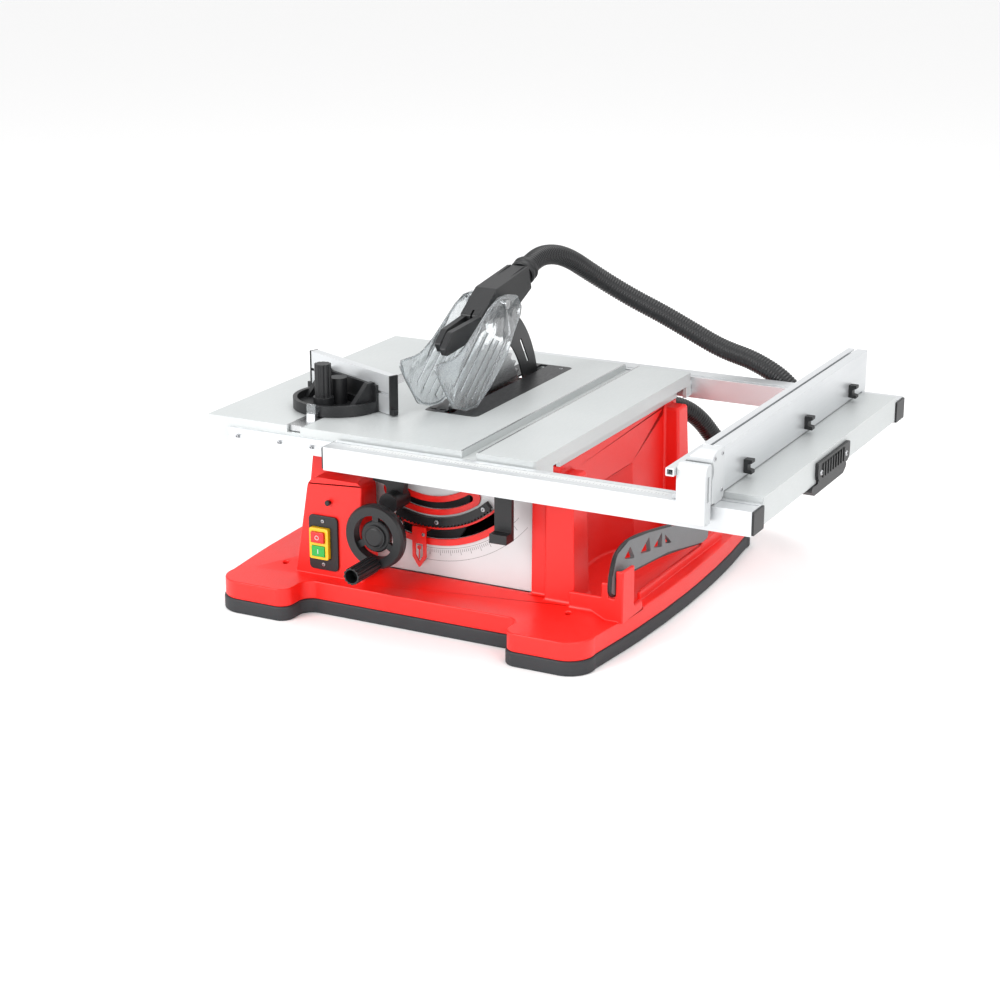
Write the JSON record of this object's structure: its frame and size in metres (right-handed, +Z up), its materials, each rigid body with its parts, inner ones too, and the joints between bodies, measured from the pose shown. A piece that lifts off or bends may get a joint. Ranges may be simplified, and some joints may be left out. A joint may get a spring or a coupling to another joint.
{
  "type": "table saw",
  "caption": "Bench table saw with a tilting, lifting blade under a clear guard, mitre gauge, rip fence, sliding side extension, push stick and dust hose",
  "frame": {"origin": "centre of the four bench-bolt holes, on the floor under the base", "axes": "+X to the operator's right, along the rails; +Y away from the operator, along the blade; +Z up"},
  "size_m": [0.8855, 0.804, 0.4953],
  "materials": {
    "red_plastic": "satin moulded",
    "dark_band": "matt",
    "grey_aluminium": "fine-ground cast, satin",
    "silver_extrusion": "satin anodised",
    "silver_panel": "satin paint",
    "black_plastic": "matt",
    "black_steel": "satin paint",
    "dark_insert": "brushed",
    "bright_steel": "ground",
    "zinc_screws": "zinc plated",
    "yellow_plastic": "gloss",
    "red_button": "gloss",
    "green_button": "gloss",
    "clear_guard": "clear polycarbonate",
    "grey_stick": "satin",
    "hose_rubber": "corrugated",
    "motor_grey": "satin paint",
    "cast_iron": "as cast"
  },
  "bodies": {
    "base": {"base_plinth": "dark_band", "base_housing": "red_plastic", "front_panel": "silver_panel", "slot_rings": "red_button", "tilt_rack": "black_steel", "switch_plate": "black_plastic", "switch_body": "yellow_plastic", "base_screws": "zinc_screws", "main_table": "grey_aluminium", "table_insert": "dark_insert", "front_fixed_rail": "silver_extrusion", "rear_fixed_rail": "silver_extrusion", "front_trunnion": "cast_iron", "rear_trunnion": "cast_iron", "dust_port": "black_plastic", "mains_gland": "black_plastic", "hose_lower": "hose_rubber"},
    "tilt_carriage": {"tilt_cradle": "cast_iron", "guide_posts": "bright_steel", "tilt_pointer": "red_button", "hose_upper": "hose_rubber"},
    "blade_carriage": {"motor_housing": "motor_grey", "motor_end_cap": "black_plastic", "arbor_housing": "cast_iron", "riving_knife": "black_steel", "knife_clamp": "bright_steel", "dust_hood": "black_plastic", "hose_cuff": "black_plastic"},
    "blade": {"arbor_shaft": "bright_steel", "saw_blade": "bright_steel", "arbor_flanges": "bright_steel"},
    "guard_left": {"guard_left_shield": "clear_guard"},
    "guard_right": {"guard_pin": "bright_steel", "guard_right_shield": "clear_guard"},
    "screw": {"lift_screw": "bright_steel"},
    "wheel": {"handwheel": "black_plastic", "wheel_shaft": "bright_steel"},
    "crank_grip": {"handwheel_grip": "black_plastic"},
    "bevel_lock": {"bevel_lock_lever": "black_plastic"},
    "rail_lock": {"rail_lock_lever": "black_plastic"},
    "extension": {"front_slide_rail": "silver_extrusion", "rear_slide_rail": "silver_extrusion", "extension_table": "grey_aluminium", "extension_grip": "black_plastic", "rail_end_caps": "black_plastic"},
    "fence": {"fence_beam": "silver_extrusion", "fence_head": "silver_panel", "fence_lip": "silver_extrusion", "fence_clips": "black_plastic"},
    "fence_clamp": {"fence_lever": "silver_panel"},
    "miter_slider": {"miter_bar": "bright_steel", "miter_pointer": "clear_guard"},
    "miter_gauge": {"miter_head": "black_plastic", "miter_fence": "silver_extrusion", "miter_caps": "black_plastic"},
    "miter_handle": {"miter_knob": "black_plastic"},
    "stop": {"stop_button": "red_button"},
    "start": {"start_button": "green_button"},
    "reset": {"reset_button": "black_plastic"},
    "stick": {"push_stick": "grey_stick"}
  },
  "joints": [
    {"name": "blade_tilt", "type": "hinge", "parent": "base", "child": "tilt_carriage", "pos_m": [-0.007, -0.03, 0.3], "axis": [0, -1, 0], "range_deg": [0, 45], "deforming": ["hose_lower"]},
    {"name": "blade_height", "type": "slide", "parent": "tilt_carriage", "child": "blade_carriage", "axis": [0, 0, 1], "range_m": [-0.08, 0], "deforming": ["hose_upper"]},
    {"name": "blade_spin", "type": "hinge", "parent": "blade_carriage", "child": "blade", "pos_m": [-0.007, -0.03, 0.253], "axis": [1, 0, 0], "continuous": true},
    {"name": "guard_follow", "type": "hinge", "parent": "blade_carriage", "child": "guard_right", "pos_m": [-0.007, -0.02, 0.44], "axis": [-1, 0, 0], "range_deg": [0, 51.4]},
    {"name": "guard_left_lift", "type": "hinge", "parent": "guard_right", "child": "guard_left", "pos_m": [-0.007, -0.02, 0.44], "axis": [-1, 0, 0], "range_deg": [0, 56]},
    {"name": "lift_screw_turn", "type": "hinge", "parent": "tilt_carriage", "child": "screw", "pos_m": [-0.048, -0.164, 0.1], "axis": [0, 0, 1], "range_deg": [-722, 1]},
    {"name": "handwheel_turn", "type": "hinge", "parent": "tilt_carriage", "child": "wheel", "pos_m": [-0.058, -0.2, 0.13626], "axis": [0, 1, 0], "range_deg": [-722, 1]},
    {"name": "grip_spin", "type": "hinge", "parent": "wheel", "child": "crank_grip", "pos_m": [-0.058, -0.3, 0.09626], "axis": [0, 1, 0], "continuous": true},
    {"name": "bevel_lock_turn", "type": "hinge", "parent": "tilt_carriage", "child": "bevel_lock", "pos_m": [-0.05123, -0.2, 0.18042], "axis": [0, 1, 0], "range_deg": [0, 45]},
    {"name": "rail_lock_turn", "type": "hinge", "parent": "base", "child": "rail_lock", "pos_m": [0.138, -0.248, 0.255], "axis": [1, 0, 0], "range_deg": [-60, 0]},
    {"name": "extension_slide", "type": "slide", "parent": "base", "child": "extension", "axis": [1, 0, 0], "range_m": [-0.2, 0]},
    {"name": "fence_slide", "type": "slide", "parent": "extension", "child": "fence", "axis": [1, 0, 0], "range_m": [-0.19, 0.03]},
    {"name": "fence_lever_turn", "type": "hinge", "parent": "fence", "child": "fence_clamp", "pos_m": [0.48, -0.38, 0.338], "axis": [1, 0, 0], "range_deg": [-60, 0]},
    {"name": "miter_slide", "type": "slide", "parent": "base", "child": "miter_slider", "axis": [0, 1, 0], "range_m": [-0.03, 0.3]},
    {"name": "miter_turn", "type": "hinge", "parent": "miter_slider", "child": "miter_gauge", "pos_m": [-0.167, -0.194, 0.305], "axis": [0, 0, 1], "range_deg": [-30, 60]},
    {"name": "miter_knob_turn", "type": "hinge", "parent": "miter_gauge", "child": "miter_handle", "pos_m": [-0.1747, -0.2245, 0.33], "axis": [0, 0, 1], "continuous": true},
    {"name": "stop_press", "type": "slide", "parent": "base", "child": "stop", "axis": [0, 1, 0], "range_m": [0, 0.003], "stiffness_N_per_m": 300},
    {"name": "start_press", "type": "slide", "parent": "base", "child": "start", "axis": [0, 1, 0], "range_m": [0, 0.003], "stiffness_N_per_m": 300},
    {"name": "reset_press", "type": "slide", "parent": "base", "child": "reset", "axis": [0, 1, 0], "range_m": [0, 0.003], "stiffness_N_per_m": 300},
    {"name": "push_stick_lift", "type": "slide", "parent": "base", "child": "stick", "axis": [0, 0, 1], "range_m": [0, 0.06]}
  ],
  "couplings": [
    {"joint": "guard_follow", "follows": "blade_height", "rad_per_m": -11},
    {"joint": "guard_left_lift", "follows": "blade_tilt", "ratio": 1.2},
    {"joint": "lift_screw_turn", "follows": "blade_height", "rad_per_m": 157.08},
    {"joint": "handwheel_turn", "follows": "blade_height", "rad_per_m": 157.08}
  ]
}
